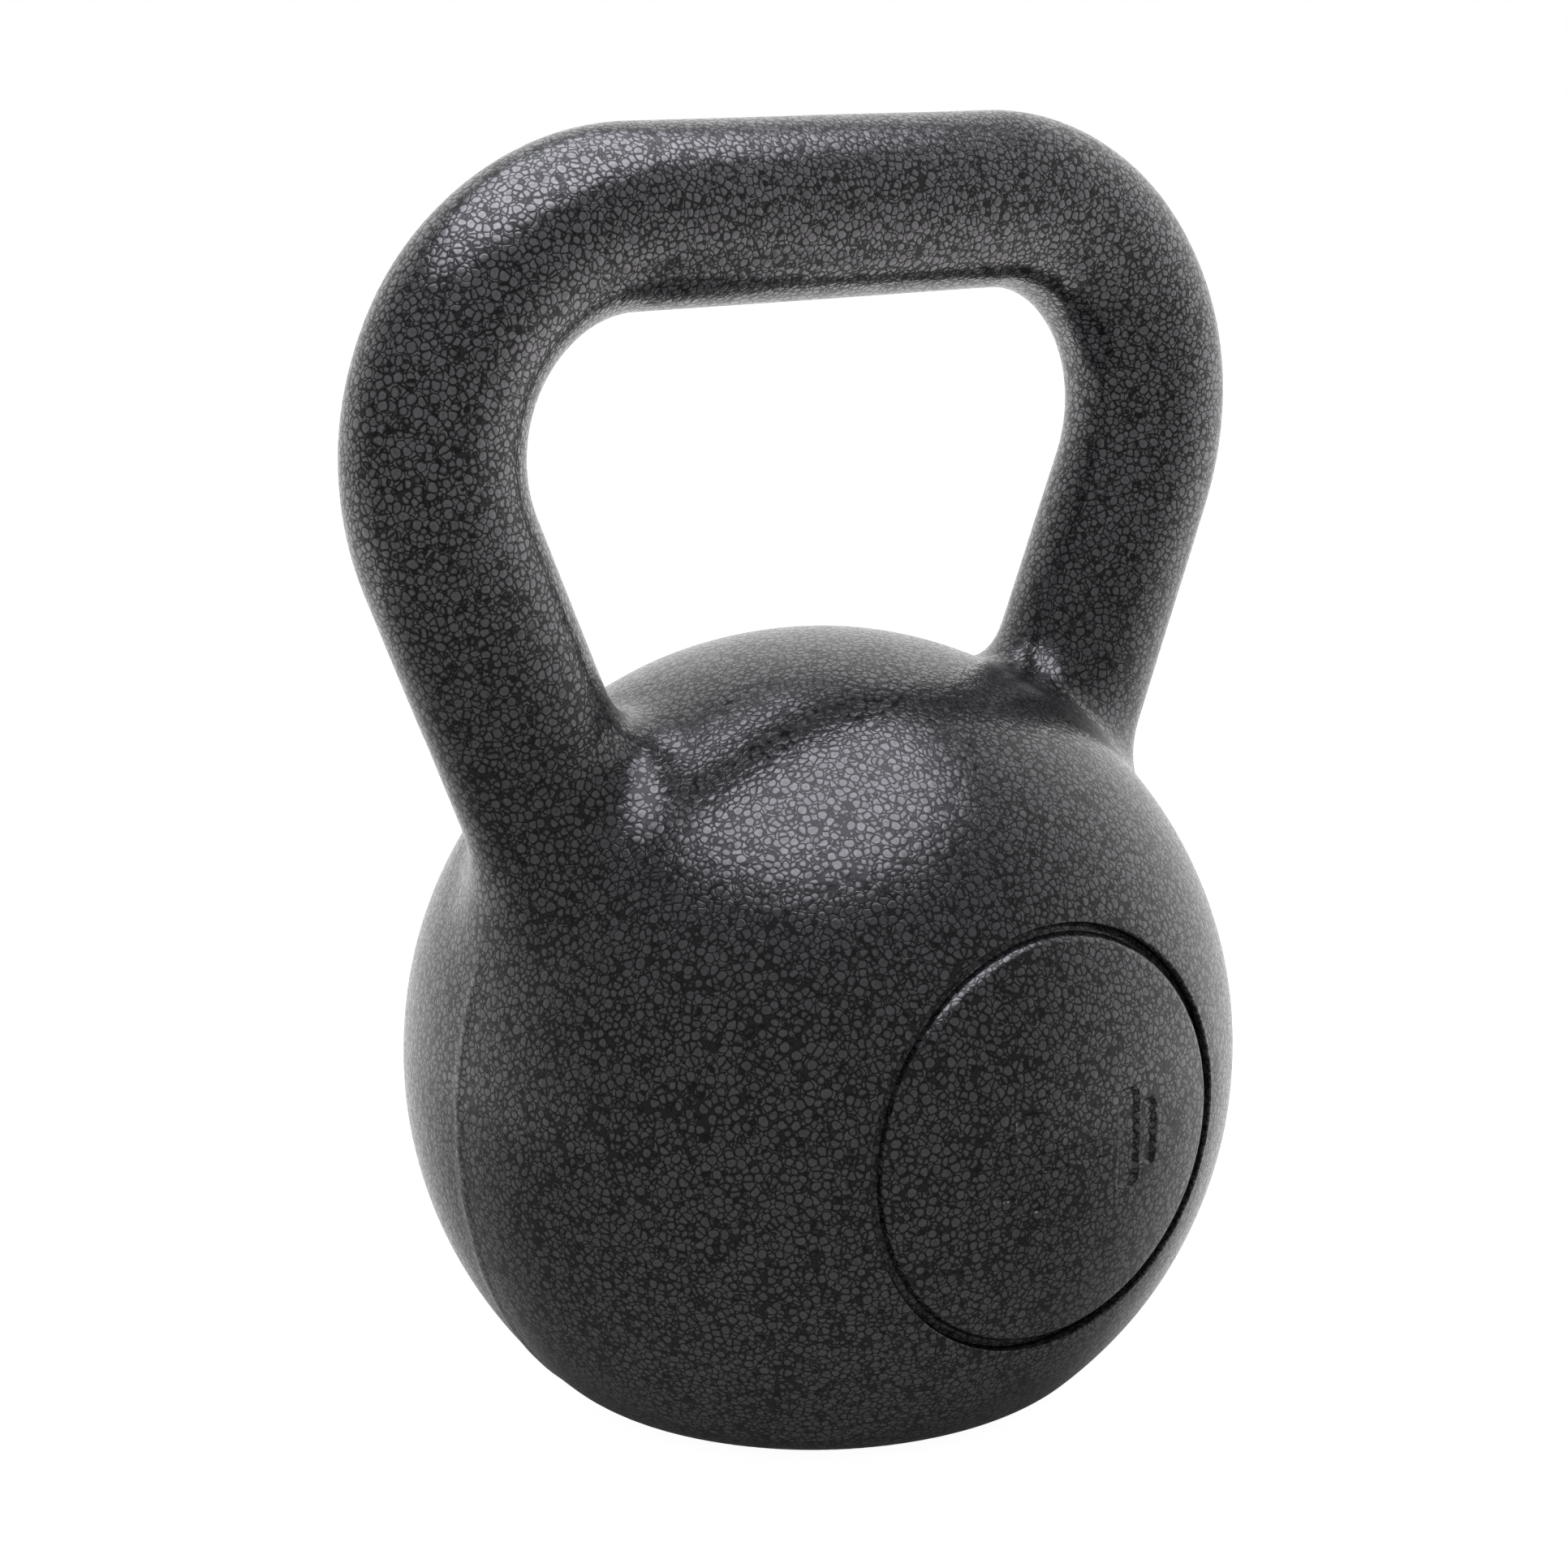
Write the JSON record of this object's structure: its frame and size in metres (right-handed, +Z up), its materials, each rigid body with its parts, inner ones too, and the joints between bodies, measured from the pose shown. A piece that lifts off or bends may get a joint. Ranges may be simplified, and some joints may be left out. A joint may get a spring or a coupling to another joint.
{
  "type": "kettlebell",
  "caption": "Cast-iron kettlebell: round ball on a flat base, wide oval-section handle on leaning horns, and sunken-rim disc plates in the front and rear of the ball.",
  "frame": {"origin": "centre of the flat base, on the surface that the kettlebell stands on", "axes": "+Z up through the middle of the ball and the grip, X along the grip, -Y out of the front disc"},
  "size_m": [0.1918, 0.1532, 0.2356],
  "materials": {
    "ball_paint": "grey hammertone paint on cast iron, semi-gloss",
    "handle_paint": "grey hammertone paint on cast iron, semi-gloss",
    "collar_paint": "grey hammertone paint on cast iron, semi-gloss",
    "disc_paint": "grey hammertone paint on cast iron, semi-gloss"
  },
  "bodies": {
    "root": {"ball": "ball_paint", "handle": "handle_paint", "left_horn_collar": "collar_paint", "right_horn_collar": "collar_paint", "front_disc": "disc_paint", "rear_disc": "disc_paint"}
  },
  "joints": []
}
